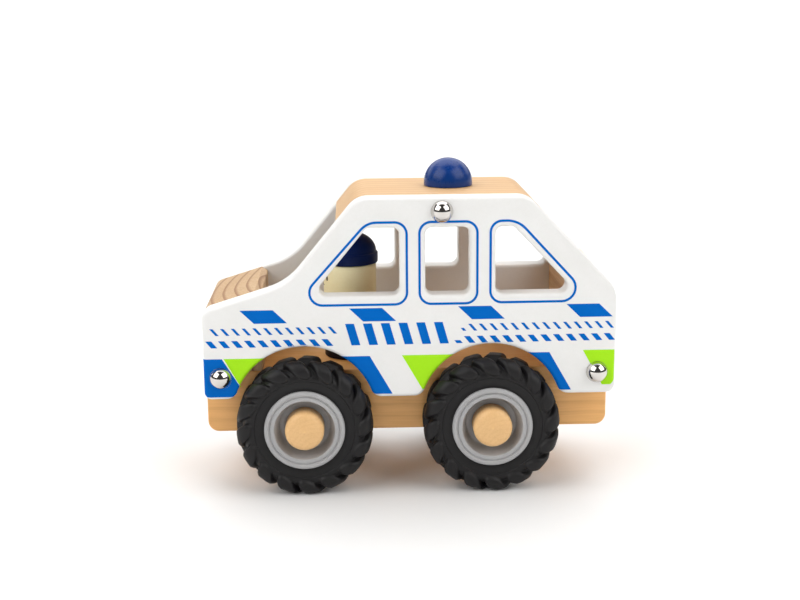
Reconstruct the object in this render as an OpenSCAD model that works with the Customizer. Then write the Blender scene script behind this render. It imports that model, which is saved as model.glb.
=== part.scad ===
// Wooden toy police car with a driver peg, a roof beacon and four rubber-tyred wheels.
// The car faces -X and stands on the floor at Z = 0; +Y is its right-hand side.

/* [Side panels] */
// Length of the car from nose to tail
panel_len = 165; // [155:1:180]
// Thickness of a side panel
panel_t = 10; // [8:0.5:12]
// Height of a side panel from its lower edge to the roof
panel_h = 80.4; // [76:0.2:90]
// Height of the panel at the nose
nose_h = 36.1; // [32:0.1:40]
// Height of the panel at the foot of the windscreen
cowl_h = 46.5; // [43:0.1:50]
// Height of the panel at the tail
tail_h = 42.7; // [38:0.1:48]
// Length of the bonnet line, measured level
hood_run = 33.7; // [30:0.1:38]
// Length of the windscreen line, measured level
screen_run = 28; // [22:0.5:32]
// Length of the flat roof
roof_run = 67.7; // [60:0.1:74]
// Radius of the upper nose corner
nose_r = 4.5; // [1:0.5:6]
// Radius of the lower nose corner
chin_r = 3; // [1:0.5:5]
// Radius of the hollow between bonnet and windscreen
cowl_r = 27; // [5:1:35]
// Radius of the roof's front and rear corners
roof_r = 10; // [3:1:14]
// Radius of the upper tail corner
tail_r = 13; // [3:1:18]
// Radius of the lower tail corner
heel_r = 4; // [1:0.5:6]

/* [Windows] */
// Height of the sill above the panel's lower edge
sill_h = 41.4; // [39:0.1:46]
// Depth of the panel above the windows
head_rail = 11.8; // [11:0.1:16]
// Width of the pillar beside the windscreen, square to its edge
screen_pillar = 10.6; // [8:0.1:14]
// Width of the pillar beside the rear slope, square to its edge
tail_pillar = 12.5; // [9:0.1:16]
// Width of the two upright pillars
pillar_w = 10.1; // [8:0.1:13]
// Distance from the roof's front corner to the middle window
middle_window_back = 26.9; // [24:0.1:30]
// Width of the middle window
middle_window_w = 17.7; // [14:0.1:22]
// Radius of the windows' corners
window_r = 3; // [1:0.25:4]

/* [Blocks] */
// Clear width between the side panels
cabin_w = 50; // [44:1:60]
// Thickness of the base block
base_t = 25.25; // [22:0.25:30]
// Wood below the axles' centre line
axle_cover = 4.85; // [3.5:0.05:8]
// Gap from the tail of the panels to the end of the base
base_short = 1.7; // [0.5:0.1:4]
// Radius of the base's lower end edges
base_edge_r = 4.5; // [1:0.5:8]
// How far the panels reach down past the top of the base
panel_drop = 8.9; // [6:0.1:12]
// Length of the bonnet block
hood_block_len = 23; // [16:0.5:27]
// Bevel on the bonnet block's rear upper edge
hood_bevel = 2.5; // [0.5:0.5:4]
// Length of the tail block
tail_block_len = 17; // [12:0.5:20]
// Height of the tail block
tail_block_h = 39.5; // [30:0.5:44]
// Thickness of the roof block
roof_t = 11; // [10:0.5:14]

/* [Tie rods] */
// Diameter of the tie rods
rod_d = 4; // [3:0.1:5]
// Radial clearance of the tie rods in their holes
rod_gap = 0.1; // [0.05:0.01:0.2]
// Distance from the nose to the front tie rod
front_rod_back = 6.7; // [5:0.1:10]
// Distance from the tail to the rear tie rod
rear_rod_in = 7.5; // [6:0.1:10]
// Depth of the roof tie rod below the roof
roof_rod_drop = 5.6; // [4:0.1:7]
// Diameter of the domed rod caps
rod_cap_d = 8.7; // [7:0.1:11]
// Height of the domed rod caps
rod_cap_h = 4; // [3.5:0.1:5]
// Length of rod held in each cap
rod_cap_grip = 2.2; // [1.5:0.1:2.6]

/* [Beacon] */
// Diameter of the beacon
beacon_d = 20; // [16:0.5:24]
// Height of the beacon's straight foot
beacon_foot = 1.5; // [0.5:0.1:4]
// Distance from the roof's front corner to the beacon
beacon_back = 38.3; // [32:0.1:42]
// Diameter of the beacon's dowel
beacon_dowel_d = 4; // [3:0.1:5]
// Length of the beacon's dowel in the roof
beacon_dowel_low = 7; // [4:0.5:9]
// Length of the beacon's dowel in the beacon
beacon_dowel_high = 6; // [4:0.5:9]
// Wood between the beacon's dowel and the roof tie rod
roof_web = 0.7; // [0.5:0.1:2]

/* [Driver] */
// Diameter of the driver
driver_d = 22; // [18:0.5:26]
// Distance from the bonnet block to the driver's centre
driver_back = 35.8; // [32:0.1:44]
// Room between the driver's cap and the roof block
head_room = 8; // [4:0.5:14]
// Diameter of the cap's band
cap_band_d = 23.6; // [20:0.1:28]
// Height of the cap's band
cap_band_h = 4.6; // [3:0.1:6]
// Diameter of the cap's crown
cap_crown_d = 22.2; // [19:0.1:26]
// Height of the cap's crown
cap_crown_h = 8.1; // [5:0.1:11]
// Diameter of the driver's dowel
driver_dowel_d = 6; // [4:0.5:8]
// Length of the driver's dowel, half in the base and half in the driver
driver_dowel_len = 20; // [12:1:24]

/* [Wheels] */
// Outer diameter of a tyre
tyre_d = 55; // [50:1:60]
// Width of a tyre
tyre_w = 15.5; // [13:0.5:18]
// Gap between the base and the tyres
tyre_gap = 1.5; // [1:0.1:3]
// Distance from the nose to the front axle
front_overhang = 39.85; // [38:0.05:44]
// Place of the rear axle, as a share of the way from the front axle to the tail
rear_axle_ratio = 0.6; // [0.58:0.01:0.64]
// Clearance between a tyre and its wheel arch
arch_gap = 1.3; // [1:0.1:3]
// Height of the arch's centre above the axle
arch_rise = 3.9; // [2:0.1:7]
// Radius where an arch meets the panel's lower edge
arch_end_r = 4.5; // [1:0.5:6]
// Distance from a tyre's sides in to the edges of its tread
tyre_shoulder = 1.7; // [1:0.1:2.5]
// Height of the tread lugs
lug_h = 2.3; // [1.5:0.1:3]
// Width of a tread lug along the tread
lug_w = 6.6; // [4:0.1:7]
// Number of lugs in each of the two rows
lug_count = 16; // [14:1:18]
// Gap between the two rows of lugs
lug_row_gap = 1.2; // [0.5:0.1:2]
// Slant of the lugs from the axle's direction
lug_slant = 28; // [0:1:30]

/* [Hubs and axles] */
// Diameter of the axles
axle_d = 4; // [3:0.1:5]
// Radial running clearance of the axles in the base
axle_gap = 0.08; // [0.03:0.01:0.1]
// Gap between the base and the hubs
hub_gap = 0.4; // [0.3:0.1:1]
// Diameter of a hub's boss
hub_boss_d = 12; // [9:0.5:15]
// Diameter of the seat that carries the tyre
hub_seat_d = 30; // [28:0.5:32]
// Height of the hub's lip and flange above the seat
hub_lip_h = 1.1; // [0.8:0.1:2]
// Thickness of the hub's lip and flange
hub_lip_t = 1.4; // [1:0.1:2]
// Bevel on the outer edge of the hub's lip
hub_lip_bevel = 0.5; // [0.2:0.1:0.8]
// Distance from the tyre's sides in to the hub's lip and flange
hub_lip_in = 0.1; // [0:0.1:2.5]
// Depth of the dish in a hub
dish_depth = 7.4; // [4:0.1:8]
// Diameter of the dish at its mouth
dish_mouth_d = 24.2; // [22:0.1:25]
// Bevel around the dish's mouth
dish_bevel = 0.4; // [0.2:0.1:1.6]
// Diameter of the dish at its floor
dish_floor_d = 22.4; // [18:0.1:23]
// Thickness of a hub's web and rim
hub_wall = 2.2; // [1.6:0.1:2.8]
// Diameter of the wooden hub buttons
button_d = 15.6; // [13:0.1:17.5]
// How far a hub button stands out past the lip
button_proud = 2.7; // [0:0.1:4]
// Radius of a hub button's rim
button_rim_r = 2.4; // [0.2:0.1:3]
// Length of axle held in a hub button
button_grip = 4; // [2:0.1:4]
// Radial clearance of pressed and glued fits
fit_gap = 0.03; // [0.02:0.01:0.05]

/* [Hidden] */
$fn = 72;
// Steps in the arc of a rounded corner
corner_steps = 10;
// Overshoot of cuts past the faces they open
over = 1;

axle_r = axle_d / 2;
rod_r = rod_d / 2;
tyre_r = tyre_d / 2;
side_y = cabin_w / 2;

nose_x = -panel_len / 2;
tail_x = panel_len / 2;
cowl_x = nose_x + hood_run;
roof_x0 = cowl_x + screen_run;
roof_x1 = roof_x0 + roof_run;
front_axle_x = nose_x + front_overhang;
wheelbase = rear_axle_ratio * (tail_x - front_axle_x);
rear_axle_x = front_axle_x + wheelbase;
beacon_x = roof_x0 + beacon_back;
base_x1 = tail_x - base_short;
driver_x = nose_x + hood_block_len + driver_back;

axle_z = tyre_r;
base_z = axle_z - axle_cover;
seam_z = base_z + base_t;
panel_z = seam_z - panel_drop;
roof_z = panel_z + panel_h;
nose_z = panel_z + nose_h;
cowl_z = panel_z + cowl_h;
tail_z = panel_z + tail_h;
sill_z = panel_z + sill_h;
head_z = roof_z - head_rail;
ceiling_z = roof_z - roof_t;

// Tie rods lie in the joint over the base at both ends, and in the roof block before the beacon
rod_bore_r = rod_r + rod_gap;
beacon_bore_r = beacon_dowel_d / 2 + fit_gap;
front_rod = [nose_x + front_rod_back, seam_z];
rear_rod = [tail_x - rear_rod_in, seam_z];
roof_rod = [beacon_x - beacon_bore_r - roof_web - rod_bore_r, roof_z - roof_rod_drop];
rods = [front_rod, rear_rod, roof_rod];

cap_h = cap_band_h + cap_crown_h;
driver_h = ceiling_z - head_room - cap_h - seam_z;

// Distances across a wheel, measured outward from the side of the base
tyre_out = tyre_gap + tyre_w;
lip_out = tyre_out - hub_lip_in;
lip_in = lip_out - hub_lip_t;
flange_in = tyre_gap + hub_lip_in;
flange_out = flange_in + hub_lip_t;
web_out = lip_out - dish_depth;
button_out = lip_out + button_proud;
axle_half = side_y + web_out + button_grip;

// Angle a brought into the range from -180 to 180 degrees
function half_turn(a) = a > 180 ? a - 360 : a < -180 ? a + 360 : a;

// Arc that rounds the corner p, between the points a and b, with radius r
function corner(a, p, b, r) =
    let (u = (a - p) / norm(a - p))
    let (v = (b - p) / norm(b - p))
    let (half = acos(u * v) / 2)
    let (centre = p + (u + v) / norm(u + v) * r / sin(half))
    let (from = p + u * r / tan(half) - centre)
    let (to = p + v * r / tan(half) - centre)
    let (start = atan2(from.y, from.x))
    let (sweep = half_turn(atan2(to.y, to.x) - start))
    [for (i = [0:corner_steps]) centre + r * [cos(start + sweep * i / corner_steps),
                                              sin(start + sweep * i / corner_steps)]];

// Outline through the points p, each rounded with its radius in r
function rounded(p, r) =
    let (n = len(p))
    [for (i = [0:n - 1]) each corner(p[(i + n - 1) % n], p[i], p[(i + 1) % n], r[i])];

// Level place of the windscreen's and the rear slope's edges at height z
function screen_x(z) = cowl_x + (z - cowl_z) / (roof_z - cowl_z) * screen_run;
function slope_x(z) = roof_x1 + (roof_z - z) / (roof_z - tail_z) * (tail_x - roof_x1);

// Slanted window edges, parallel to the windscreen and to the rear slope
function driver_window_x(z) = screen_x(z) + screen_pillar / sin(atan2(roof_z - cowl_z, screen_run));
function rear_window_x(z) = slope_x(z) - tail_pillar / sin(atan2(roof_z - tail_z, tail_x - roof_x1));

// Side view of the car's body, without openings
module body_outline() {
    polygon(rounded(
        [[nose_x, panel_z], [nose_x, nose_z], [cowl_x, cowl_z], [roof_x0, roof_z],
         [roof_x1, roof_z], [tail_x, tail_z], [tail_x, panel_z]],
        [chin_r, nose_r, cowl_r, roof_r, roof_r, tail_r, heel_r]));
}

// Four-cornered window between the sill and the head rail
module window(sill_x0, sill_x1, head_x1, head_x0) {
    polygon(rounded(
        [[sill_x0, sill_z], [sill_x1, sill_z], [head_x1, head_z], [head_x0, head_z]],
        [window_r, window_r, window_r, window_r]));
}

module windows() {
    middle_x0 = roof_x0 + middle_window_back;
    middle_x1 = middle_x0 + middle_window_w;
    driver_x1 = middle_x0 - pillar_w;
    rear_x0 = middle_x1 + pillar_w;
    window(driver_window_x(sill_z), driver_x1, driver_x1, driver_window_x(head_z));
    window(middle_x0, middle_x1, middle_x1, middle_x0);
    window(rear_x0, rear_window_x(sill_z), rear_window_x(head_z), rear_x0);
}

// Wheel arch over the axle at x, its ends rounded into the panel's lower edge
module arch(x) {
    arch_r = tyre_r + arch_gap;
    centre_z = axle_z + arch_rise;
    end_z = panel_z + arch_end_r - centre_z;
    end_x = sqrt(pow(arch_r + arch_end_r, 2) - pow(end_z, 2));
    touch = arch_r / (arch_r + arch_end_r);
    translate([x, centre_z])
        difference() {
            union() {
                circle(arch_r);
                polygon([[-end_x, end_z - arch_end_r - over], [end_x, end_z - arch_end_r - over],
                         [end_x, end_z - arch_end_r], [end_x * touch, end_z * touch],
                         [-end_x * touch, end_z * touch], [-end_x, end_z - arch_end_r]]);
            }
            for (side = [-1, 1])
                translate([side * end_x, end_z])
                    circle(arch_end_r);
        }
}

// Holes for the tie rods in side view
module rod_holes() {
    for (rod = rods)
        translate(rod)
            circle(rod_bore_r);
}

// Side-view shape stretched across the car from y0 to y1
module across(y0, y1) {
    translate([0, y1, 0])
        rotate([90, 0, 0])
            linear_extrude(y1 - y0)
                children();
}

module side_panel(y0) {
    color([0.95, 0.95, 0.94])
        across(y0, y0 + panel_t)
            difference() {
                body_outline();
                windows();
                arch(front_axle_x);
                arch(rear_axle_x);
                rod_holes();
            }
}

module base_block() {
    color([0.84, 0.66, 0.46])
        difference() {
            across(-side_y, side_y)
                difference() {
                    polygon(concat(
                        corner([nose_x, seam_z], [nose_x, base_z], [base_x1, base_z], base_edge_r),
                        corner([nose_x, base_z], [base_x1, base_z], [base_x1, seam_z], base_edge_r),
                        [[base_x1, seam_z], [nose_x, seam_z]]));
                    rod_holes();
                    for (x = [front_axle_x, rear_axle_x])
                        translate([x, axle_z])
                            circle(axle_r + axle_gap);
                }
            translate([driver_x, 0, seam_z - driver_dowel_len / 2])
                cylinder(h = driver_dowel_len / 2 + over, r = driver_dowel_d / 2 + fit_gap);
        }
}

// Bonnet block, cut flush with the panels' bonnet line
module hood_block() {
    rear_x = nose_x + hood_block_len;
    rear_z = nose_z + hood_block_len / hood_run * (cowl_z - nose_z);
    color([0.92, 0.80, 0.66])
        across(-side_y, side_y)
            difference() {
                intersection() {
                    body_outline();
                    polygon([[nose_x, seam_z], [rear_x, seam_z], [rear_x, rear_z - hood_bevel],
                             [rear_x - hood_bevel, rear_z + over], [nose_x, rear_z + over]]);
                }
                rod_holes();
            }
}

// Tail block, cut flush with the panels' rear slope
module tail_block() {
    color([0.90, 0.75, 0.58])
        across(-side_y, side_y)
            difference() {
                intersection() {
                    body_outline();
                    translate([base_x1 - tail_block_len, seam_z])
                        square([tail_block_len, tail_block_h]);
                }
                rod_holes();
            }
}

// Roof block, cut flush with the windscreen and rear slope of the panels
module roof_block() {
    color([0.97, 0.85, 0.68])
        difference() {
            across(-side_y, side_y)
                difference() {
                    intersection() {
                        body_outline();
                        translate([nose_x, ceiling_z])
                            square([panel_len, roof_t]);
                    }
                    rod_holes();
                }
            translate([beacon_x, 0, roof_z - beacon_dowel_low])
                cylinder(h = beacon_dowel_low + over, r = beacon_bore_r);
        }
}

module beacon_dome() {
    color([0.10, 0.25, 0.55])
        translate([beacon_x, 0, roof_z])
            difference() {
                rotate_extrude() {
                    square([beacon_d / 2, beacon_foot]);
                    intersection() {
                        translate([0, beacon_foot])
                            circle(beacon_d / 2);
                        square(beacon_d / 2 + beacon_foot);
                    }
                }
                translate([0, 0, -over])
                    cylinder(h = beacon_dowel_high + over, r = beacon_bore_r);
            }
}

module beacon_dowel() {
    color([0.88, 0.72, 0.52])
        translate([beacon_x, 0, roof_z - beacon_dowel_low])
            cylinder(h = beacon_dowel_low + beacon_dowel_high, r = beacon_dowel_d / 2);
}

module driver_body() {
    color([0.84, 0.80, 0.60])
        translate([driver_x, 0, seam_z])
            difference() {
                cylinder(h = driver_h, r = driver_d / 2);
                translate([0, 0, -over])
                    cylinder(h = driver_dowel_len / 2 + over, r = driver_dowel_d / 2 + fit_gap);
            }
}

module driver_cap() {
    color([0.03, 0.10, 0.30])
        translate([driver_x, 0, seam_z + driver_h])
            rotate_extrude()
                polygon(concat(
                    [[0, 0], [cap_band_d / 2, 0], [cap_band_d / 2, cap_band_h]],
                    [for (i = [0:corner_steps])
                        [cap_crown_d / 2 * cos(90 * i / corner_steps),
                         cap_band_h + cap_crown_h * sin(90 * i / corner_steps)]]));
}

module driver_dowel() {
    color([0.88, 0.72, 0.52])
        translate([driver_x, 0, seam_z - driver_dowel_len / 2])
            cylinder(h = driver_dowel_len, r = driver_dowel_d / 2);
}

module tie_rod(place) {
    rod_half = side_y + panel_t + rod_cap_grip;
    color([0.75, 0.76, 0.78])
        translate([place.x, -rod_half, place.y])
            rotate([-90, 0, 0])
                cylinder(h = 2 * rod_half, r = rod_r);
}

// Domed cap pressed on a tie rod's end, on the left (side -1) or the right (side 1)
module rod_cap(place, side) {
    dome_r = (pow(rod_cap_d / 2, 2) + pow(rod_cap_h, 2)) / (2 * rod_cap_h);
    color([0.85, 0.86, 0.88])
        translate([place.x, side * (side_y + panel_t), place.y])
            rotate([-90 * side, 0, 0])
                difference() {
                    rotate_extrude()
                        intersection() {
                            translate([0, rod_cap_h - dome_r])
                                circle(dome_r);
                            square([rod_cap_d / 2, rod_cap_h]);
                        }
                    translate([0, 0, -over])
                        cylinder(h = rod_cap_grip + over, r = rod_r + fit_gap);
                }
}

module axle(x) {
    color([0.75, 0.76, 0.78])
        translate([x, -axle_half, axle_z])
            rotate([-90, 0, 0])
                cylinder(h = 2 * axle_half, r = axle_r);
}

// Place of a wheel piece: its own +Z points outward from the base's side
module at_wheel(x, side) {
    translate([x, side * side_y, axle_z])
        rotate([-90 * side, 0, 0])
            children();
}

// Moulded hub: boss, web, dished face, tyre seat between an outer lip and an inner flange
module hub(x, side) {
    boss_r = hub_boss_d / 2;
    seat_r = hub_seat_d / 2;
    lip_r = seat_r + hub_lip_h;
    mouth_r = dish_mouth_d / 2;
    floor_r = dish_floor_d / 2;
    color([0.65, 0.65, 0.66])
        at_wheel(x, side)
            rotate_extrude()
                polygon([
                    [axle_r + fit_gap, hub_gap], [boss_r, hub_gap],
                    [boss_r, web_out - hub_wall], [floor_r, web_out - hub_wall],
                    [seat_r - hub_wall, web_out - 2 * hub_wall], [seat_r - hub_wall, flange_in],
                    [lip_r, flange_in], [lip_r, flange_out],
                    [seat_r, flange_out], [seat_r, lip_in],
                    [lip_r, lip_in], [lip_r, lip_out - hub_lip_bevel],
                    [lip_r - hub_lip_bevel, lip_out], [mouth_r + dish_bevel, lip_out],
                    [mouth_r, lip_out - dish_bevel], [floor_r, web_out],
                    [axle_r + fit_gap, web_out]
                ]);
}

// Rubber tyre: carcass gripping the hub's seat, and two staggered rows of slanted lugs
module tyre(x, side) {
    seat_r = hub_seat_d / 2 + fit_gap;
    lip_r = seat_r + hub_lip_h;
    tread_r = tyre_r - lug_h;
    wall_r = (lip_r + tread_r) / 2;
    middle = tyre_gap + tyre_w / 2;
    lug_len = (tyre_w - lug_row_gap) / 2;
    lug_root = tread_r - lug_h;
    color([0.16, 0.16, 0.17])
        at_wheel(x, side) {
            rotate_extrude()
                polygon([
                    [seat_r, flange_out + fit_gap], [seat_r, lip_in - fit_gap],
                    [lip_r, lip_in - fit_gap], [lip_r, lip_out - hub_lip_bevel],
                    [wall_r, tyre_out], [tread_r, tyre_out - tyre_shoulder],
                    [tread_r, tyre_gap + tyre_shoulder], [wall_r, tyre_gap],
                    [lip_r, flange_in], [lip_r, flange_out + fit_gap]
                ]);
            intersection() {
                rotate_extrude()
                    polygon([
                        [lug_root, tyre_gap], [tyre_r, tyre_gap + tyre_shoulder],
                        [tyre_r, tyre_out - tyre_shoulder], [lug_root, tyre_out]
                    ]);
                for (row = [-1, 1], i = [0:lug_count - 1])
                    rotate([0, 0, 90 * side + 360 / lug_count * (i + (row + 1) / 4)])
                        translate([lug_root, 0, middle + row * (lug_len + lug_row_gap) / 2])
                            rotate([-side * row * lug_slant, 0, 0])
                                translate([0, -lug_w / 2, -lug_len / 2])
                                    cube([2 * lug_h + over, lug_w, lug_len]);
            }
        }
}

// Wooden button glued on an axle's end, in the dish of a hub
module hub_button(x, side) {
    button_r = button_d / 2;
    color([0.91, 0.74, 0.51])
        at_wheel(x, side)
            difference() {
                rotate_extrude()
                    polygon([[0, web_out], [button_r, web_out],
                             each [for (a = [0:15:90]) [button_r - button_rim_r * (1 - cos(a)),
                                                        button_out - button_rim_r * (1 - sin(a))]],
                             [0, button_out]]);
                translate([0, 0, web_out - over])
                    cylinder(h = button_grip + over, r = axle_r + fit_gap);
            }
}

side_panel(-side_y - panel_t);  // left_side_panel
side_panel(side_y);  // right_side_panel
base_block();
hood_block();
tail_block();
roof_block();
beacon_dome();
beacon_dowel();
driver_body();
driver_cap();
driver_dowel();
tie_rod(front_rod);  // front_tie_rod
tie_rod(rear_rod);  // rear_tie_rod
tie_rod(roof_rod);  // roof_tie_rod
rod_cap(front_rod, -1);  // front_left_rod_cap
rod_cap(front_rod, 1);  // front_right_rod_cap
rod_cap(rear_rod, -1);  // rear_left_rod_cap
rod_cap(rear_rod, 1);  // rear_right_rod_cap
rod_cap(roof_rod, -1);  // roof_left_rod_cap
rod_cap(roof_rod, 1);  // roof_right_rod_cap
axle(front_axle_x);  // front_axle
axle(rear_axle_x);  // rear_axle
hub(front_axle_x, -1);  // front_left_hub
hub(front_axle_x, 1);  // front_right_hub
hub(rear_axle_x, -1);  // rear_left_hub
hub(rear_axle_x, 1);  // rear_right_hub
tyre(front_axle_x, -1);  // front_left_tyre
tyre(front_axle_x, 1);  // front_right_tyre
tyre(rear_axle_x, -1);  // rear_left_tyre
tyre(rear_axle_x, 1);  // rear_right_tyre
hub_button(front_axle_x, -1);  // front_left_button
hub_button(front_axle_x, 1);  // front_right_button
hub_button(rear_axle_x, -1);  // rear_left_button
hub_button(rear_axle_x, 1);  // rear_right_button
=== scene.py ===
import math

import bmesh
import bpy
import numpy as np
from mathutils import Matrix, Vector
from mathutils.geometry import tessellate_polygon


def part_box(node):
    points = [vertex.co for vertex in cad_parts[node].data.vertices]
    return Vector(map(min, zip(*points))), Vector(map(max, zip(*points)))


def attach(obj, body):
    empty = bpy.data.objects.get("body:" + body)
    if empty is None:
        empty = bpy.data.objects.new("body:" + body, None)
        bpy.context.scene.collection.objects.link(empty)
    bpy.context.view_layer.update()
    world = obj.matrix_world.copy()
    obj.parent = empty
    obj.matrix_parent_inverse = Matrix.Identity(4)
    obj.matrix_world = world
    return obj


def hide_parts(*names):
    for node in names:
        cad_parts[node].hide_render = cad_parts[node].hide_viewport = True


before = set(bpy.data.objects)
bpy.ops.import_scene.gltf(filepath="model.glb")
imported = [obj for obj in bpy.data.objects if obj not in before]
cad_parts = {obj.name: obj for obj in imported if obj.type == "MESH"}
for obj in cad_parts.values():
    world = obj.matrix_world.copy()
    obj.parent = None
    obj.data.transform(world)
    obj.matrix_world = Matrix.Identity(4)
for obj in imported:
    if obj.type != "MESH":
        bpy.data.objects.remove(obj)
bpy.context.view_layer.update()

mm = 0.001

# Base block
# A length of clear-lacquered pine that everything is built on. The axles turn in two bores across it, and
# the end tie rods lie in half-round grooves in its upper face, under the bonnet and tail blocks.
base_lo, base_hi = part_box("base_block")
base_end_r = 4.5 * mm
block_corner_r = 0.7 * mm
block_edge_r = 0.45 * mm
axle_bore_r = 2.08 * mm
axle_bore_edge_r = 0.3 * mm
rod_bore_r = 2.1 * mm


def middle(node):
    """Middle of a CAD node's box."""
    lo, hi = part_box(node)
    return (lo + hi) / 2


def arc(centre, radius, start, end, steps):
    """Points on the circle about centre, from the angle start to the angle end in degrees."""
    angle = np.radians(np.linspace(start, end, steps + 1))
    return np.asarray(centre) + radius * np.stack([np.cos(angle), np.sin(angle)], 1)


def rounded(corners, radii, steps=10, lead=0.3 * mm):
    """Arcs that round the corners of a closed outline: each touches both edges of its corner, a distance of
    radius / tan(half the corner's angle) away. A short straight lead on both sides keeps the edges flat."""
    corner = np.asarray(corners, float)
    radius = np.asarray(radii, float)[:, None]
    back = np.roll(corner, 1, 0) - corner
    ahead = np.roll(corner, -1, 0) - corner
    back /= np.linalg.norm(back, axis=1, keepdims=True)
    ahead /= np.linalg.norm(ahead, axis=1, keepdims=True)
    half = np.arccos((back * ahead).sum(1, keepdims=True)) / 2
    halfway = (back + ahead) / np.linalg.norm(back + ahead, axis=1, keepdims=True)
    centre = corner + halfway * radius / np.sin(half)
    first = corner + back * radius / np.tan(half)
    last = corner + ahead * radius / np.tan(half)
    start = np.arctan2(*(first - centre).T[::-1])
    turn = (np.arctan2(*(last - centre).T[::-1]) - start + np.pi) % (2 * np.pi) - np.pi
    angle = start[:, None] + turn[:, None] * np.linspace(0, 1, steps + 1)
    arcs = centre[:, None] + radius[:, None] * np.stack([np.cos(angle), np.sin(angle)], 2)
    return np.concatenate([(first + back * lead)[:, None], arcs, (last + ahead * lead)[:, None]], 1)


def wrap(index, axis):
    """Grid of vertex numbers with its first row or column repeated at the end, to close it on itself."""
    return np.concatenate([index, index.take([0], axis)], axis)


def quads(index):
    """Faces of a grid of vertex numbers: each joins a vertex to its neighbours in the next row and column."""
    return np.stack([index[:-1, :-1], index[1:, :-1], index[1:, 1:], index[:-1, 1:]], 2).reshape(-1, 4)


def solid(name, points, smooth_faces, flat_faces=()):
    """Closed mesh piece of these points and faces, with doubles merged and its faces turned outward."""
    faces = [list(map(int, face)) for group in (smooth_faces, flat_faces) for face in group]
    mesh = bpy.data.meshes.new(name)
    mesh.from_pydata(np.reshape(points, (-1, 3)).tolist(), [], faces)
    mesh.polygons.foreach_set("use_smooth", np.arange(len(faces)) < len(smooth_faces))
    work = bmesh.new()
    work.from_mesh(mesh)
    bmesh.ops.remove_doubles(work, verts=work.verts, dist=0.0005 * mm)
    bmesh.ops.recalc_face_normals(work, faces=work.faces)
    work.to_mesh(mesh)
    work.free()
    made = bpy.data.objects.new(name, mesh)
    bpy.context.scene.collection.objects.link(made)
    return made


def carried(loop, inset, level):
    """Closed (X, Z) loop carried along a section: row by row it moves in from the loop by inset, along the
    mitre of its two edges' normals, and lies at Y = level. The normals point to the loop's left."""
    ahead = np.roll(loop, -1, 0) - loop
    ahead /= np.linalg.norm(ahead, axis=1, keepdims=True)
    normal = np.stack([-ahead[:, 1], ahead[:, 0]], 1)
    before = np.roll(normal, 1, 0)
    mitre = (normal + before) / (1 + (normal * before).sum(1, keepdims=True))
    ring = loop + inset[:, None, None] * mitre
    return np.stack([ring[..., 0], np.broadcast_to(level[:, None], ring.shape[:2]), ring[..., 1]], 2)


def slab(name, y0, y1, loops, steps=7, lead=0.3 * mm):
    """Board between y0 and y1, cut to closed (X, Z) loops, each with the radius of its rounded edges: the
    outline first, then holes. At the angle a of a quarter turn the rim is in from its loop by
    radius x (1 - sin a) and in from the face by radius x (1 - cos a). Flat faces fill the end rings."""
    angle = np.linspace(0, np.pi / 2, steps + 1)
    points, strips, low, high, count = [], [], [], [], 0
    for number, (loop, radius) in enumerate(loops):
        x, z = loop.T
        runs_left = (x * np.roll(z, -1) - z * np.roll(x, -1)).sum() > 0
        loop = loop if runs_left == (number == 0) else loop[::-1]
        inset = np.r_[radius + lead, radius * (1 - np.sin(angle)), 0]
        depth = np.r_[0, radius * (1 - np.cos(angle)), radius + lead]
        grid = carried(loop, np.r_[inset, inset[::-1]], np.r_[y0 + depth, (y1 - depth)[::-1]])
        index = count + np.arange(grid[..., 0].size).reshape(grid.shape[:2])
        count += index.size
        points.append(grid.reshape(-1, 3))
        strips.append(quads(wrap(index, 1)))
        low.append(index[0])
        high.append(index[-1])
    points = np.concatenate(points)
    fill = np.array(tessellate_polygon([[Vector(points[i]).xzy for i in ring] for ring in low]))
    flat = np.concatenate([np.concatenate(low)[fill], np.concatenate(high)[fill]])
    return solid(name, points, np.concatenate(strips), flat)


def fitted(obj, material, body, slot, *nodes):
    """Gives a piece its material and the body it rides on, and hides the CAD nodes it stands for. Its finish
    slot, slot, is not used.
    """
    obj.data.materials.append(material)
    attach(obj, body)
    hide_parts(*nodes)


def srgb(red, green, blue):
    """Colour of a picture, 0 to 255, as the linear colour that shaders take."""
    share = np.array([red, green, blue]) / 255
    return *np.where(share > 0.04045, ((share + 0.055) / 1.055) ** 2.4, share / 12.92).tolist(), 1


def add(tree, kind, inputs, **settings):
    """New node in tree, with its settings, and with inputs that are values or links from other sockets."""
    made = tree.nodes.new(kind)
    for name, value in settings.items():
        setattr(made, name, value)
    for key, value in inputs.items():
        if isinstance(value, bpy.types.NodeSocket):
            tree.links.new(value, made.inputs[key])
        else:
            made.inputs[key].default_value = value
    return made


def maths(tree, operation, *values):
    """Result of a Math node on one, two or three values."""
    return add(tree, "ShaderNodeMath", dict(enumerate(values)), operation=operation).outputs[0]


def spread(tree, value, low, high, to_low=0.0, to_high=1.0):
    """Value taken smoothly from the range low to high into the range to_low to to_high, and held there."""
    made = add(tree, "ShaderNodeMapRange", {0: value, 1: low, 2: high, 3: to_low, 4: to_high},
               interpolation_type="SMOOTHSTEP")
    return made.outputs[0]


def blend(tree, factor, first, second):
    """Colour between first and second, set by factor."""
    return add(tree, "ShaderNodeMix", {0: factor, 6: first, 7: second}, data_type="RGBA").outputs[2]


def noise(tree, place, scale, detail):
    """Value of a noise texture at place."""
    return add(tree, "ShaderNodeTexNoise", {"Vector": place, "Scale": scale, "Detail": detail}).outputs[0]


def new_group(name, inputs, outputs):
    """Empty shader node group with these inputs and outputs, and its two end nodes."""
    tree = bpy.data.node_groups.new(name, "ShaderNodeTree")
    for socket, kind in inputs.items():
        tree.interface.new_socket(socket, in_out="INPUT", socket_type=kind)
    for socket in outputs:
        tree.interface.new_socket(socket, in_out="OUTPUT", socket_type="NodeSocketFloat")
    return tree, tree.nodes.new("NodeGroupInput").outputs, tree.nodes.new("NodeGroupOutput")


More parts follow.
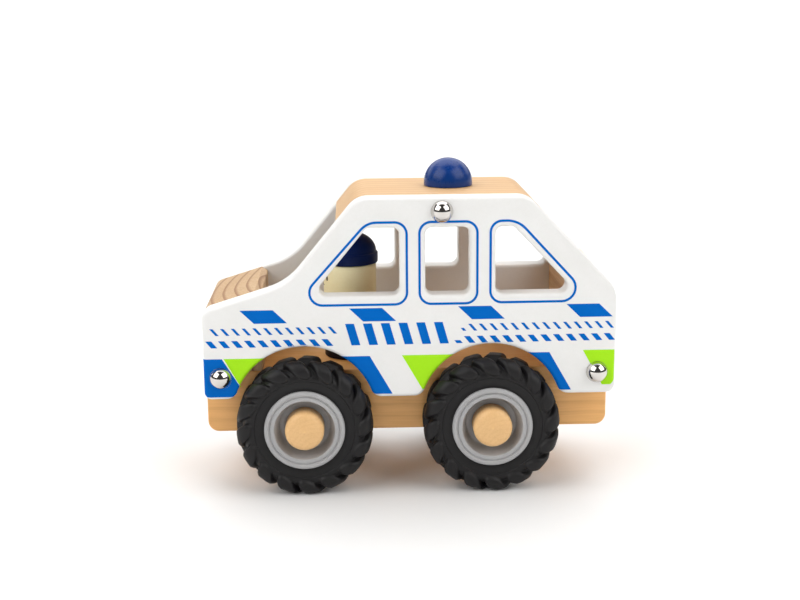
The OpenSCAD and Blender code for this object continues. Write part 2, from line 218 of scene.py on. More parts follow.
# Growth rings about the Z axis of the place that goes in: a wandering distance from the pith, counted in
# rings, darkens slowly through each ring and drops back at its edge; fibres are noise drawn out along Z
wander_per_m, fibres_per_m = (26, 26, 9), (1500, 1500, 55)
late_full, late_drop = 0.92, 0.94
grain_tree, grain_in, grain_out = new_group(
    "pine_grain",
    {"Place": "NodeSocketVector", "Ring": "NodeSocketFloat", "Waver": "NodeSocketFloat",
     "Spring": "NodeSocketFloat"},
    ["Latewood", "Fibre", "Tone"])
slow = add(grain_tree, "ShaderNodeVectorMath", {0: grain_in["Place"], 1: wander_per_m}, operation="MULTIPLY")
wander = add(grain_tree, "ShaderNodeTexNoise", {"Vector": slow.outputs[0], "Scale": 1.0, "Detail": 2.0})
sway = add(grain_tree, "ShaderNodeVectorMath", {0: wander.outputs["Color"], 1: (0.5, 0.5, 0.5)},
           operation="SUBTRACT")
sway = add(grain_tree, "ShaderNodeVectorMath", {0: sway.outputs[0], "Scale": grain_in["Waver"]},
           operation="SCALE")
place = add(grain_tree, "ShaderNodeVectorMath", {0: grain_in["Place"], 1: sway.outputs[0]}, operation="ADD")
flat_place = add(grain_tree, "ShaderNodeVectorMath", {0: place.outputs[0], 1: (1, 1, 0)},
                 operation="MULTIPLY")
pith_distance = add(grain_tree, "ShaderNodeVectorMath", {0: flat_place.outputs[0]}, operation="LENGTH")
rings = maths(grain_tree, "FRACT", maths(grain_tree, "DIVIDE", pith_distance.outputs["Value"],
                                         grain_in["Ring"]))
darken = spread(grain_tree, rings, grain_in["Spring"], late_full)
edge_drop = spread(grain_tree, rings, late_drop, 1.0, 1.0, 0.0)
drawn_out = add(grain_tree, "ShaderNodeVectorMath", {0: place.outputs[0], 1: fibres_per_m},
                operation="MULTIPLY")
grain_tree.links.new(maths(grain_tree, "MULTIPLY", darken, edge_drop), grain_out.inputs["Latewood"])
grain_tree.links.new(noise(grain_tree, drawn_out.outputs[0], 1.0, 2.0), grain_out.inputs["Fibre"])
grain_tree.links.new(noise(grain_tree, slow.outputs[0], 1.7, 2.0), grain_out.inputs["Tone"])


def new_material(name):
    """Empty material with a Principled shader, and the place on the piece in metres."""
    made = bpy.data.materials.new(name)
    made.use_nodes = True
    tree = made.node_tree
    place = tree.nodes.new("ShaderNodeTexCoord").outputs["Object"]
    return made, tree, tree.nodes["Principled BSDF"], place


def bump(tree, shader, height, distance, strength):
    """Raises the shader's surface by height, a value from 0 to 1, times distance."""
    made = add(tree, "ShaderNodeBump", {"Height": height, "Distance": distance, "Strength": strength})
    tree.links.new(made.outputs[0], shader.inputs["Normal"])


streak_share, tone_share = 0.22, 0.16
lacquer_rough = 0.4, 0.56
grain_relief = 0.12 * mm


def pine(name, pale, dark, pith, turn, ring, contrast, waver=6 * mm, spring=0.4):
    """Clear-lacquered pine: pale spring wood for a share of each ring, then darker to its end, with fine
    darker fibres. The pith is the Z axis after a turn by these angles, through the point pith."""
    made, tree, shader, place = new_material(name)
    local = add(tree, "ShaderNodeMapping", {"Vector": place, "Location": pith, "Rotation": turn},
                vector_type="TEXTURE")
    grain = add(tree, "ShaderNodeGroup", {}, node_tree=grain_tree)
    tree.links.new(local.outputs[0], grain.inputs["Place"])
    grain.inputs["Ring"].default_value = ring
    grain.inputs["Waver"].default_value = waver
    grain.inputs["Spring"].default_value = spring
    latewood, fibre, tone = grain.outputs
    colour = blend(tree, maths(tree, "MULTIPLY", latewood, contrast), pale, dark)
    streak = blend(tree, spread(tree, fibre, 0.35, 0.75, 0.0, streak_share), colour, dark)
    shade = blend(tree, spread(tree, tone, 0.3, 0.7, 0.0, tone_share), streak, dark)
    tree.links.new(shade, shader.inputs["Base Color"])
    tree.links.new(spread(tree, fibre, 0.3, 0.8, *lacquer_rough), shader.inputs["Roughness"])
    height = maths(tree, "ADD", maths(tree, "MULTIPLY", latewood, 0.5), maths(tree, "MULTIPLY", fibre, 0.5))
    bump(tree, shader, height, grain_relief, 0.35)
    shader.inputs["Coat Weight"].default_value = 0.12
    shader.inputs["Coat Roughness"].default_value = 0.3
    return made


front_axle, rear_axle = middle("front_axle"), middle("rear_axle")
front_rod, rear_rod, roof_rod = (middle(f"{end}_tie_rod") for end in ("front", "rear", "roof"))
along_x = (0, math.pi / 2, 0)
base_corners = rounded(
    [(base_lo.x, base_lo.z), (base_hi.x, base_lo.z), (base_hi.x, base_hi.z), (base_lo.x, base_hi.z)],
    [base_end_r, base_end_r, block_corner_r, block_corner_r])
base_outline = np.concatenate([
    base_corners[0], base_corners[1], base_corners[2],
    arc((rear_rod.x, base_hi.z), rod_bore_r, 0, -180, 12),
    arc((front_rod.x, base_hi.z), rod_bore_r, 0, -180, 12), base_corners[3]])
axle_bores = [(arc((axle.x, axle.z), axle_bore_r, 0, 360, 32)[:-1], axle_bore_edge_r)
              for axle in (front_axle, rear_axle)]
base_pine = pine("base_pine", srgb(244, 186, 114), srgb(206, 142, 76), pith=(0, 0.012, -0.034), turn=along_x,
                 ring=4.3 * mm, contrast=0.26)
fitted(slab("base", base_lo.y, base_hi.y, [(base_outline, block_edge_r), *axle_bores]),
       base_pine, "car_body", "base_pine", "base_block")

# Bonnet block
# A short pine block glued on the base at the nose, its top planed to the panels' bonnet line and its rear
# edge bevelled. The wide growth rings of its end grain show on top.
hood_lo, hood_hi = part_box("hood_block")
panel_lo, panel_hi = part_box("left_side_panel")
nose_z = panel_lo.z + 36.1 * mm
cowl_x = panel_lo.x + 33.7 * mm
cowl_z = panel_lo.z + 46.5 * mm
nose_r = 4.5 * mm
hood_bevel = 2.5 * mm


def bonnet_z(x):
    """Height of the bonnet line at x."""
    return nose_z + (x - panel_lo.x) / (cowl_x - panel_lo.x) * (cowl_z - nose_z)


hood_corners = rounded(
    [(hood_lo.x, hood_lo.z), (hood_hi.x, hood_lo.z), (hood_hi.x, bonnet_z(hood_hi.x) - hood_bevel),
     (hood_hi.x - hood_bevel, bonnet_z(hood_hi.x - hood_bevel)), (hood_lo.x, nose_z)],
    [block_corner_r, block_corner_r, block_corner_r, block_corner_r, nose_r])
hood_outline = np.concatenate([
    hood_corners[0], arc((front_rod.x, hood_lo.z), rod_bore_r, 180, 0, 12), *hood_corners[1:]])
hood_pine = pine("hood_pine", srgb(203, 169, 126), srgb(148, 100, 55), pith=(0.0386, -0.003, 0),
                 turn=(0, 0, 0), ring=5 * mm, contrast=0.95, waver=2.4 * mm, spring=0.62)
fitted(slab("bonnet", hood_lo.y, hood_hi.y, [(hood_outline, block_edge_r)]),
       hood_pine, "car_body", "hood_pine", "hood_block")

# Tail block
# A pine block glued upright on the base at the tail, planed off at the rear slope. Only its front face
# shows from the side, through the rear window.
tail_lo, tail_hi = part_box("tail_block")
roof_x0 = cowl_x + 28 * mm
roof_x1 = roof_x0 + 67.7 * mm
tail_z = panel_lo.z + 42.7 * mm
slope_share = (panel_hi.x - roof_x1) / (panel_hi.z - tail_z)
tail_top_x = roof_x1 + (panel_hi.z - tail_hi.z) * slope_share
tail_back_z = panel_lo.z + 43.8 * mm
tail_back_r = 3 * mm
along_y = (math.pi / 2, 0, 0)
tail_corners = rounded(
    [(tail_lo.x, tail_lo.z), (tail_hi.x, tail_lo.z), (tail_hi.x, tail_back_z), (tail_top_x, tail_hi.z),
     (tail_lo.x, tail_hi.z)],
    [block_corner_r, block_corner_r, tail_back_r, block_corner_r, block_corner_r])
tail_outline = np.concatenate([
    tail_corners[0], arc((rear_rod.x, tail_lo.z), rod_bore_r, 180, 0, 12), *tail_corners[1:]])
tail_pine = pine("tail_pine", srgb(236, 200, 155), srgb(190, 140, 92), pith=(0.03, 0.05, 0.06), turn=along_y,
                 ring=4.8 * mm, contrast=0.55)
fitted(slab("tail", tail_lo.y, tail_hi.y, [(tail_outline, block_edge_r)]),
       tail_pine, "car_body", "hood_pine", "tail_block")

# Roof block
# A pine board glued between the panels' tops, planed flush with the windscreen and the rear slope. Its faint
# straight grain runs from nose to tail.
roof_lo, roof_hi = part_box("roof_block")
roof_r = 10 * mm
rod_bore_edge_r = 0.2 * mm
screen_share = (roof_x0 - cowl_x) / (panel_hi.z - cowl_z)
roof_outline = rounded(
    [(roof_x0 - (roof_hi.z - roof_lo.z) * screen_share, roof_lo.z),
     (roof_x1 + (roof_hi.z - roof_lo.z) * slope_share, roof_lo.z),
     (roof_x1, roof_hi.z), (roof_x0, roof_hi.z)],
    [block_corner_r, block_corner_r, roof_r, roof_r]).reshape(-1, 2)
roof_rod_hole = arc((roof_rod.x, roof_rod.z), rod_bore_r, 0, 360, 32)[:-1]
roof_pine = pine("roof_pine", srgb(222, 184, 134), srgb(196, 144, 92), pith=(0, 0.09, 0.075), turn=along_x,
                 ring=5.6 * mm, contrast=0.5)
fitted(slab("roof", roof_lo.y, roof_hi.y, [(roof_outline, block_edge_r), (roof_rod_hole, rod_bore_edge_r)]),
       roof_pine, "car_body", "roof_pine", "roof_block")

# Side panels
# Two 10 mm boards sawn to the car's outline with three windows and two wheel arches, their edges rounded,
# lacquered satin white. The tie rods clamp them against the blocks.
panel_edge_r = 1.4 * mm
cowl_r, tail_r, heel_r, chin_r = 27 * mm, 13 * mm, 4 * mm, 3 * mm
arch_r = 28.8 * mm
arch_centre_z = front_axle.z + 3.9 * mm
arch_end_r = 4.5 * mm
arch_end_z = panel_lo.z + arch_end_r
arch_end_x = math.sqrt((arch_r + arch_end_r) ** 2 - (arch_end_z - arch_centre_z) ** 2)
arch_end_angle = math.degrees(math.atan2(arch_end_z - arch_centre_z, arch_end_x))
sill_z = panel_lo.z + 41.4 * mm
head_z = panel_hi.z - 11.8 * mm
window_r = 3 * mm
pillar_w = 10.1 * mm
middle_window_x0 = roof_x0 + 26.9 * mm
middle_window_x1 = middle_window_x0 + 17.7 * mm
screen_pillar = 10.6 * mm
tail_pillar = 12.5 * mm


def arch(x):
    """Wheel arch over the axle at x: rounded end, arc and rounded end, from nose to tail."""
    return np.concatenate([
        arc((x - arch_end_x, arch_end_z), arch_end_r, -90, -arch_end_angle, 10)[:-1],
        arc((x, arch_centre_z), arch_r, 180 - arch_end_angle, arch_end_angle, 56),
        arc((x + arch_end_x, arch_end_z), arch_end_r, 180 + arch_end_angle, 270, 10)[1:]])


def screen_edge(z, inward):
    """X of the line parallel to the windscreen edge, at the distance inward from it, at height z."""
    return roof_x0 + (z - panel_hi.z) * screen_share + inward * math.hypot(1, screen_share)


def slope_edge(z, inward):
    """X of the line parallel to the rear slope, at the distance inward from it, at height z."""
    return roof_x1 + (panel_hi.z - z) * slope_share - inward * math.hypot(1, slope_share)


window_corners = [
    [(screen_edge(sill_z, screen_pillar), sill_z), (middle_window_x0 - pillar_w, sill_z),
     (middle_window_x0 - pillar_w, head_z), (screen_edge(head_z, screen_pillar), head_z)],
    [(middle_window_x0, sill_z), (middle_window_x1, sill_z), (middle_window_x1, head_z),
     (middle_window_x0, head_z)],
    [(middle_window_x1 + pillar_w, sill_z), (slope_edge(sill_z, tail_pillar), sill_z),
     (slope_edge(head_z, tail_pillar), head_z), (middle_window_x1 + pillar_w, head_z)]]
window_loops = [rounded(corners, [window_r] * 4).reshape(-1, 2) for corners in window_corners]


# Fine and broad unevenness of a sprayed, moulded or rubbed surface, as two noises of the place that goes in
broad_per_m = 55
mottle_tree, mottle_in, mottle_out = new_group(
    "mottle", {"Place": "NodeSocketVector", "Fineness": "NodeSocketFloat"}, ["Fine", "Broad"])
mottle_tree.links.new(noise(mottle_tree, mottle_in["Place"], mottle_in["Fineness"], 2.0),
                      mottle_out.inputs["Fine"])
mottle_tree.links.new(noise(mottle_tree, mottle_in["Place"], broad_per_m, 3.0), mottle_out.inputs["Broad"])


def coated(name, colour, worn, rough, fineness, relief, gloss=0.5, metallic=0.0):
    """Even finish that drifts a little from colour to worn over the piece, is between the two roughnesses of
    rough, mirrors as much as gloss says, and has a fine relief in the surface."""
    made, tree, shader, place = new_material(name)
    mottle = add(tree, "ShaderNodeGroup", {}, node_tree=mottle_tree)
    tree.links.new(place, mottle.inputs["Place"])
    mottle.inputs["Fineness"].default_value = fineness
    fine, broad = mottle.outputs
    drift = maths(tree, "ADD", maths(tree, "MULTIPLY", broad, 0.7), maths(tree, "MULTIPLY", fine, 0.3))
    tree.links.new(blend(tree, spread(tree, drift, 0.3, 0.7), colour, worn), shader.inputs["Base Color"])
    tree.links.new(spread(tree, drift, 0.3, 0.7, *rough), shader.inputs["Roughness"])
    bump(tree, shader, fine, relief, 0.4)
    shader.inputs["Specular IOR Level"].default_value = gloss
    shader.inputs["Metallic"].default_value = metallic
    return made


panel_corners = rounded(
    [(panel_lo.x, panel_lo.z), (panel_hi.x, panel_lo.z), (panel_hi.x, tail_z), (roof_x1, panel_hi.z),
     (roof_x0, panel_hi.z), (cowl_x, cowl_z), (panel_lo.x, nose_z)],
    [chin_r, heel_r, tail_r, roof_r, roof_r, cowl_r, nose_r], 14)
panel_outline = np.concatenate([
    panel_corners[0], arch(front_axle.x), arch(rear_axle.x), panel_corners[1:].reshape(-1, 2)])
rod_holes = [(arc((rod.x, rod.z), rod_bore_r, 0, 360, 24)[:-1], rod_bore_edge_r)
             for rod in (front_rod, rear_rod, roof_rod)]
panel_loops = [(panel_outline, panel_edge_r),
               *[(window, panel_edge_r) for window in window_loops], *rod_holes]
panel_white = coated("panel_white", srgb(238, 238, 237), srgb(234, 234, 232), rough=(0.36, 0.46),
                     fineness=900, relief=0.02 * mm)
for side in ("left", "right"):
    lo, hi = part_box(f"{side}_side_panel")
    fitted(slab(f"{side}_panel", lo.y, hi.y, panel_loops),
           panel_white, "car_body", "panel_white", f"{side}_side_panel")

# Printed livery
# Blue and yellow-green ink screened on the lacquer of both panels: slanted bars cut off by the arches,
# two rows of dashes, four blocks, six plain bars in the middle, and a line around each window.
ink_proud = 0.05 * mm
ink_sunk = 0.04 * mm
line_w = 0.95 * mm
rim_gap = 0.03 * mm
print_rise = 0.0045
bar_lean = 0.57


def rim_distance(x, z):
    """Distance in from the panel's rounded rim, near its ends, its lower edge and its wheel arches."""
    end = np.minimum(x - panel_lo.x, panel_hi.x - x)
    radius = np.where(x < 0, chin_r, heel_r)
    low = z - panel_lo.z
    inside = radius - np.hypot(np.maximum(radius - end, 0), np.maximum(radius - low, 0))
    for axle in (front_axle, rear_axle):
        over = np.hypot(x - axle.x, z - arch_centre_z) - arch_r
        across = np.abs(x - axle.x)
        turn = np.degrees(np.arctan2(z - arch_end_z, arch_end_x - across))
        at_end = (turn < -arch_end_angle) & (across < arch_end_x)
        ended = arch_end_r - np.hypot(arch_end_x - across, z - arch_end_z)
        inside = np.minimum(inside, np.where(at_end, ended, over))
    return inside


def ink(name, side, z, left, right, columns):
    """Film of ink over bars that lie between the edges left and right, given as X at the heights z, one row
    for each bar. It follows the panel's face and the round of its edges: at a distance d in from the rim
    the surface is deep by radius - sqrt(radius^2 - (radius - d)^2)."""
    z, left, right = np.broadcast_arrays(z, left, right)
    share = (1 - np.cos(np.linspace(0, np.pi, columns))) / 2
    x = left[..., None] + (right - left)[..., None] * share
    z = np.broadcast_to(z[..., None], x.shape)
    short = np.clip(panel_edge_r - rim_distance(x, z), 0, panel_edge_r)
    deep = panel_edge_r - np.sqrt(panel_edge_r ** 2 - short ** 2)
    face = {"left": panel_lo.y, "right": -panel_lo.y}[side]
    outward = math.copysign(1, face)
    films = [np.stack([x, face + outward * (lift - deep), z], -1) for lift in (ink_proud, -ink_sunk)]
    bars, rows, columns = x.shape
    index = np.arange(x.size).reshape(bars, rows, columns)
    faces = []
    for grid in index:
        rim = np.concatenate([grid[0], grid[1:, -1], grid[-1, -2::-1], grid[-2:0:-1, 0]])
        wall = wrap(np.stack([rim, rim + x.size]), 1)
        faces += [quads(grid), quads(grid + x.size), quads(wall)]
    return solid(name, np.concatenate(films).reshape(-1, 3), (), np.concatenate(faces))


def heights(low, high, x, rows=25):
    """Heights of a bar at x from its low to its high edge, which are given above the panel's lower edge: the
    print rises a little towards the tail."""
    return panel_lo.z + np.linspace(low, high, rows, axis=-1) + np.asarray(x)[..., None] * print_rise


def slanted(centres, width, low, high, lean, rows=2):
    """Heights and edges of like bars about these centres, whose edges lean towards the tail going down."""
    z = heights(low, high, centres, rows)
    left = np.asarray(centres)[:, None] - width / 2 + lean * (z.mean(1, keepdims=True) - z)
    return z, left, left + width


def arch_side(axle, z, way, gap):
    """X of the edge of an axle's arch at heights z, on the nose (way -1) or tail (way 1) side, a gap away
    from it: the arch's arc, and below that its rounded end."""
    high = np.sqrt(np.maximum((arch_r + gap) ** 2 - (z - arch_centre_z) ** 2, 0))
    low = arch_end_x - np.sqrt(np.maximum((arch_end_r - gap) ** 2 - (z - arch_end_z) ** 2, 0))
    touch_z = arch_end_z - arch_end_r * math.sin(math.radians(arch_end_angle))
    return axle.x + way * np.where(z > touch_z, high, low)


def slant_edge(x, top, z, lean=bar_lean):
    """X at heights z of an edge that is at x where it is top above the panel's lower edge, and leans towards
    the tail as it goes down."""
    return x + (panel_lo.z + top - z) * lean


print_blue = coated("print_blue", srgb(0, 104, 197), srgb(0, 100, 190), rough=(0.42, 0.52),
                    fineness=1500, relief=0.01 * mm, gloss=0.05)
print_green = coated("print_green", srgb(170, 237, 34), srgb(164, 231, 30), rough=(0.42, 0.52),
                     fineness=1500, relief=0.01 * mm, gloss=0.1)
# The bars by the arches, each as heights and edges: corner, door and quarter in blue, wing, sill and heel in
# green
bar_low, bar_top = 1.4 * mm, 17.15 * mm
corner_z = heights(bar_low, bar_top, -75 * mm)
door_z = heights(bar_low, bar_top, -15 * mm)
quarter_z = heights(bar_low, bar_top, 57 * mm)
chin_drop = np.clip(panel_lo.z + chin_r - corner_z, 0, None)
corner_left = panel_lo.x + chin_r - np.sqrt((chin_r - rim_gap) ** 2 - chin_drop ** 2)
corner_right = slant_edge(-75.2 * mm, bar_top, corner_z, 0.6)
blue_rows = {
    "z": np.stack([corner_z, door_z, quarter_z]),
    "left": np.stack([
        corner_left, arch_side(front_axle, door_z, 1, rim_gap), arch_side(rear_axle, quarter_z, 1, rim_gap)]),
    "right": np.stack([
        np.minimum(corner_right, arch_side(front_axle, corner_z, -1, rim_gap)),
        slant_edge(-16.3 * mm, bar_top, door_z), slant_edge(55.8 * mm, bar_top, quarter_z)])}
wing_z = heights(5.3 * mm, bar_top, -66 * mm)
sill_bar_z = heights(2.9 * mm, bar_top, 5 * mm)
heel_low, heel_top = 2.65 * mm, 17.7 * mm
heel_z = heights(heel_low, heel_top, 76 * mm)
heel_bar_r, heel_bar_inset = 3.4 * mm, 0.6 * mm
heel_drop = np.clip(heel_z[0] + heel_bar_r - heel_z, 0, None)
heel_right = panel_hi.x - heel_bar_inset - heel_bar_r + np.sqrt(heel_bar_r ** 2 - heel_drop ** 2)
green_rows = {
    "z": np.stack([wing_z, sill_bar_z, heel_z]),
    "left": np.stack([
        slant_edge(-74.5 * mm, bar_top, wing_z, 0.55), slant_edge(-3.4 * mm, bar_top, sill_bar_z),
        slant_edge(69.3 * mm, heel_top, heel_z, 0.55)]),
    "right": np.stack([
        arch_side(front_axle, wing_z, -1, rim_gap), arch_side(rear_axle, sill_bar_z, -1, rim_gap),
        heel_right])}
# Blocks, dashes and middle bars: centres of the row, width, lower and upper edge, and lean. Both dashes that
# start the rows behind the middle bars are only the lower part of a dash
block_rows = slanted((-58.1 + 43.2 * np.arange(4)) * mm, 13.1 * mm, 31.35 * mm, 36.7 * mm, 1.03)
thin_top = np.r_[np.full(12, 29.5), 27.9, np.full(14, 29.5)] * mm
thin_rows = slanted(
    np.r_[-77.7 + 4.25 * np.arange(12), 21.2, 24.85 + 4.21 * np.arange(14)] * mm, 1.3 * mm,
    np.full(27, 26.7) * mm, thin_top, 0.86)
thick_top = np.r_[np.full(10, 24.5), 22.9, np.full(12, 24.5)] * mm
thick_rows = slanted(
    np.r_[-79 + 5.11 * np.arange(10), 19.2, 23.65 + 5.09 * np.arange(12)] * mm, 2.4 * mm,
    np.full(23, 21.7) * mm, thick_top, 0.82, 5)
middle_rows = slanted((-22.9 + 7.05 * np.arange(6)) * mm, 3.5 * mm, 21.7 * mm, 30.5 * mm, 0.28)
# The lines round the windows, each as its corners, from the panel's lower edge, and their radii
line_loops = [
    rounded(np.array(corners) * mm + (0, panel_lo.z), np.array(radii) * mm).reshape(-1, 2)
    for corners, radii in (
        ([(-46, 38), (-1.2, 38), (-1.2, 70.8), (-16.7, 70.8)], [5.1, 4.8, 4.8, 8.2]),
        ([(3.8, 38), (26.6, 38), (26.6, 70.8), (3.8, 70.8)], [4.6, 4.6, 4.6, 4.6]),
        ([(31.8, 38.2), (72.7, 38.2), (42.6, 70.9), (31.8, 70.9)], [4.6, 5.5, 10, 4.6]))]
for side in ("left", "right"):
    face = {"left": panel_lo.y, "right": -panel_lo.y}[side]
    outward = math.copysign(1, face)
    fitted(ink(f"{side}_blue_bars", side, columns=20, **blue_rows), print_blue, "car_body", "print_blue")
    fitted(ink(f"{side}_green_bars", side, columns=20, **green_rows), print_green, "car_body", "print_green")
    for part, rows in (("blocks", block_rows), ("thin_dashes", thin_rows), ("thick_dashes", thick_rows),
                       ("middle_bars", middle_rows)):
        fitted(ink(f"{side}_{part}", side, *rows, 4), print_blue, "car_body", "print_blue")
    points, faces, count = [], [], 0
    section_in = np.array([-line_w, line_w, line_w, -line_w]) / 2
    section_out = face + outward * np.array([-ink_sunk, -ink_sunk, ink_proud, ink_proud])
    for window in line_loops:
        ring = carried(window, section_in, section_out)
        index = count + np.arange(ring[..., 0].size).reshape(ring.shape[:2])
        count += index.size
        points.append(ring.reshape(-1, 3))
        faces.append(quads(wrap(wrap(index, 1), 0)))
    fitted(solid(f"{side}_window_lines", np.concatenate(points), (), np.concatenate(faces)),
           print_blue, "car_body", "print_blue")

# Tie rods and their caps
# Three steel rods clamp the panels. A plated steel cap, a shallow polished dome with a rolled rim, is
# pressed on each end.
cap_rim_r = 0.35 * mm
scratches_per_m = (2500, 60, 2500)


def turned(name, centre, axis, profile, closed=False, segments=96):
    """Turned piece: each (radius, height) point of the profile goes round the axis through centre, and its
    height runs along the axis. A profile that isn't closed on itself starts and ends on the axis."""
    axis = np.asarray(axis, float)
    across = np.array([1.0, 0, 0])
    over = np.cross(axis, across)
    radius, height = np.asarray(profile, float).T
    angle = np.linspace(0, 2 * np.pi, segments, endpoint=False)[:, None, None]
    reach = np.cos(angle) * across + np.sin(angle) * over
    points = np.asarray(centre) + radius[:, None] * reach + height[:, None] * axis
    index = wrap(np.arange(points[..., 0].size).reshape(points.shape[:2]), 0)
    return solid(name, points, quads(wrap(index, 1) if closed else index))


def steel(name):
    """Drawn steel: bright, with fine scratches along its length and a duller roughness where they lie."""
    made, tree, shader, place = new_material(name)
    drawn = add(tree, "ShaderNodeMapping", {"Vector": place, "Scale": scratches_per_m})
    scratch = noise(tree, drawn.outputs[0], 1.0, 3.0)
    colour = blend(tree, scratch, srgb(205, 206, 208), srgb(176, 178, 182))
    tree.links.new(colour, shader.inputs["Base Color"])
    tree.links.new(spread(tree, scratch, 0.3, 0.7, 0.22, 0.4), shader.inputs["Roughness"])
    bump(tree, shader, scratch, 0.01 * mm, 0.3)
    shader.inputs["Metallic"].default_value = 1.0
    return made


def shown(node, material):
    """Shows a CAD node as it is, in a new material."""
    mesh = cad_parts[node].data
    mesh.materials.clear()
    mesh.materials.append(material)


drawn_steel = steel("drawn_steel")
chrome = coated("plated_steel", srgb(214, 210, 206), srgb(208, 204, 200), rough=(0.05, 0.09),
                fineness=700, relief=0.004 * mm, metallic=1.0)
for end in ("front", "rear", "roof"):
    shown(f"{end}_tie_rod", drawn_steel)
    for side in ("left", "right"):
        lo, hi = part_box(f"{end}_{side}_rod_cap")
        outward = {"left": -1, "right": 1}[side]
        cap_r, cap_h = (hi.x - lo.x) / 2, hi.y - lo.y
        inner_r, inner_h = cap_r - cap_rim_r, cap_h - cap_rim_r
        dome_r = (inner_r ** 2 + inner_h ** 2) / (2 * inner_h) + cap_rim_r
        sweep = math.degrees(math.acos(1 - inner_h / (dome_r - cap_rim_r)))
        dome = arc((0, cap_h - dome_r), dome_r, 90, 90 - sweep, 24)
        dome[0, 0] = 0
        rim = arc((inner_r, cap_rim_r), cap_rim_r, 90 - sweep, -90, 8)
        foot = (lo.x + hi.x) / 2, {"left": hi.y, "right": lo.y}[side], (lo.z + hi.z) / 2
        fitted(turned(f"{end}_{side}_cap", foot, (0, outward, 0), np.r_[dome, rim[1:], [[0, 0]]]),
               chrome, "car_body", "chrome", f"{end}_{side}_rod_cap")

# Roof beacon
# A turned wooden half-ball on a short straight foot, sprayed satin blue and doweled on the roof.
beacon_lo, beacon_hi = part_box("beacon_dome")
beacon_r = (beacon_hi.x - beacon_lo.x) / 2
beacon_foot = beacon_hi.z - beacon_lo.z - beacon_r
foot_r = 0.5 * mm
beacon_profile = np.r_[
    [[0, 0]], arc((beacon_r - foot_r, foot_r), foot_r, -90, 0, 6), arc((0, beacon_foot), beacon_r, 0, 90, 32)]
beacon_profile[-1, 0] = 0
beacon_blue = coated("beacon_blue", srgb(2, 50, 122), srgb(6, 56, 128), rough=(0.26, 0.36),
                     fineness=1100, relief=0.02 * mm, gloss=0.3)
beacon_place = (beacon_lo.x + beacon_hi.x) / 2, 0, beacon_lo.z
fitted(turned("beacon", beacon_place, (0, 0, 1), beacon_profile),
       beacon_blue, "car_body", "beacon_blue", "beacon_dome")
dowel_wood = pine("dowel_wood", srgb(228, 188, 138), srgb(196, 150, 100), pith=(0.02, 0.004, 0),
                  turn=(0, 0, 0), ring=1.6 * mm, contrast=0.4, waver=1.5 * mm)
shown("beacon_dowel", dowel_wood)

# Driver
# A turned wooden peg doweled on the base behind the bonnet: a dark blue uniform, a cream head with dotted
# eyes and a small mouth, and a dark blue cap with a band, all in satin paint.
peg_lo, peg_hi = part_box("driver_body")
peg_r = (peg_hi.x - peg_lo.x) / 2
peg_x = (peg_lo.x + peg_hi.x) / 2
neck_z = peg_lo.z + 21.5 * mm
neck_r = 0.8 * mm


def peg(low, high):
    """Profile of a straight turned peg with rounded edges, from the height low to the height high."""
    return np.r_[[[0, low]], arc((peg_r - neck_r, low + neck_r), neck_r, -90, 0, 6),
                 arc((peg_r - neck_r, high - neck_r), neck_r, 0, 90, 6), [[0, high]]]


shown("driver_dowel", dowel_wood)
driver_cream = coated("driver_cream", srgb(250, 242, 200), srgb(246, 235, 188), rough=(0.4, 0.5),
                      fineness=800, relief=0.02 * mm)
driver_navy = coated("driver_navy", srgb(8, 12, 28), srgb(12, 16, 34), rough=(0.4, 0.52),
                     fineness=800, relief=0.02 * mm, gloss=0.2)
fitted(turned("driver_head", (peg_x, 0, 0), (0, 0, 1), peg(neck_z, peg_hi.z)),
       driver_cream, "car_body", "driver_cream", "driver_body")
fitted(turned("driver_uniform", (peg_x, 0, 0), (0, 0, 1), peg(peg_lo.z, neck_z)),
       driver_navy, "car_body", "driver_uniform")
cap_lo, cap_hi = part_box("driver_cap")
band_r = (cap_hi.x - cap_lo.x) / 2
band_h = 4.6 * mm
band_edge_r = 0.7 * mm
crown_r = 11.1 * mm
crown_h = cap_hi.z - cap_lo.z - band_h
crown_angle = np.linspace(0, np.pi / 2, 24)
crown = np.stack([crown_r * np.cos(crown_angle) ** 0.9, band_h + crown_h * np.sin(crown_angle) ** 0.95], 1)
crown[-1, 0] = 0
cap_profile = np.r_[
    [[0, 0]], arc((band_r - band_edge_r, band_edge_r), band_edge_r, -90, 0, 6),
    arc((band_r - band_edge_r, band_h - band_edge_r), band_edge_r, 0, 90, 6), crown]
cap_navy = coated("cap_navy", srgb(0, 22, 72), srgb(1, 26, 78), rough=(0.36, 0.46),
                  fineness=800, relief=0.02 * mm, gloss=0.12)
fitted(turned("driver_hat", (peg_x, 0, cap_lo.z), (0, 0, 1), cap_profile),
       cap_navy, "car_body", "cap_navy", "driver_cap")
print_dark = coated("face_paint", srgb(34, 30, 30), srgb(44, 38, 36), rough=(0.4, 0.5),
                    fineness=900, relief=0.01 * mm)
dab_lift = 0.1 * mm
dab_sunk = 0.01 * mm


def dab(name, angle, z, half_w, half_h):
    """Dab of paint on the peg: an oval patch of its surface about an angle from the nose and a height z,
    lifted towards its middle by the root of 1 - ring^2, where ring goes from 0 there to 1 at its edge."""
    ring, turn = np.meshgrid(np.linspace(0, 1, 6), np.linspace(0, 2 * np.pi, 24, endpoint=False))
    bearing = np.pi + math.radians(angle) + ring * np.cos(turn) * half_w / peg_r
    height = z + ring * np.sin(turn) * half_h
    sheets = []
    for lift in (dab_lift, -dab_lift):
        radius = peg_r + lift * np.sqrt(1 - ring ** 2) - dab_sunk * ring
        sheets.append(np.stack([peg_x + radius * np.cos(bearing), radius * np.sin(bearing), height], 2))
    index = wrap(np.arange(ring.size).reshape(ring.shape), 0)
    return solid(name, np.concatenate(sheets), np.concatenate([quads(index), quads(index + ring.size)]))


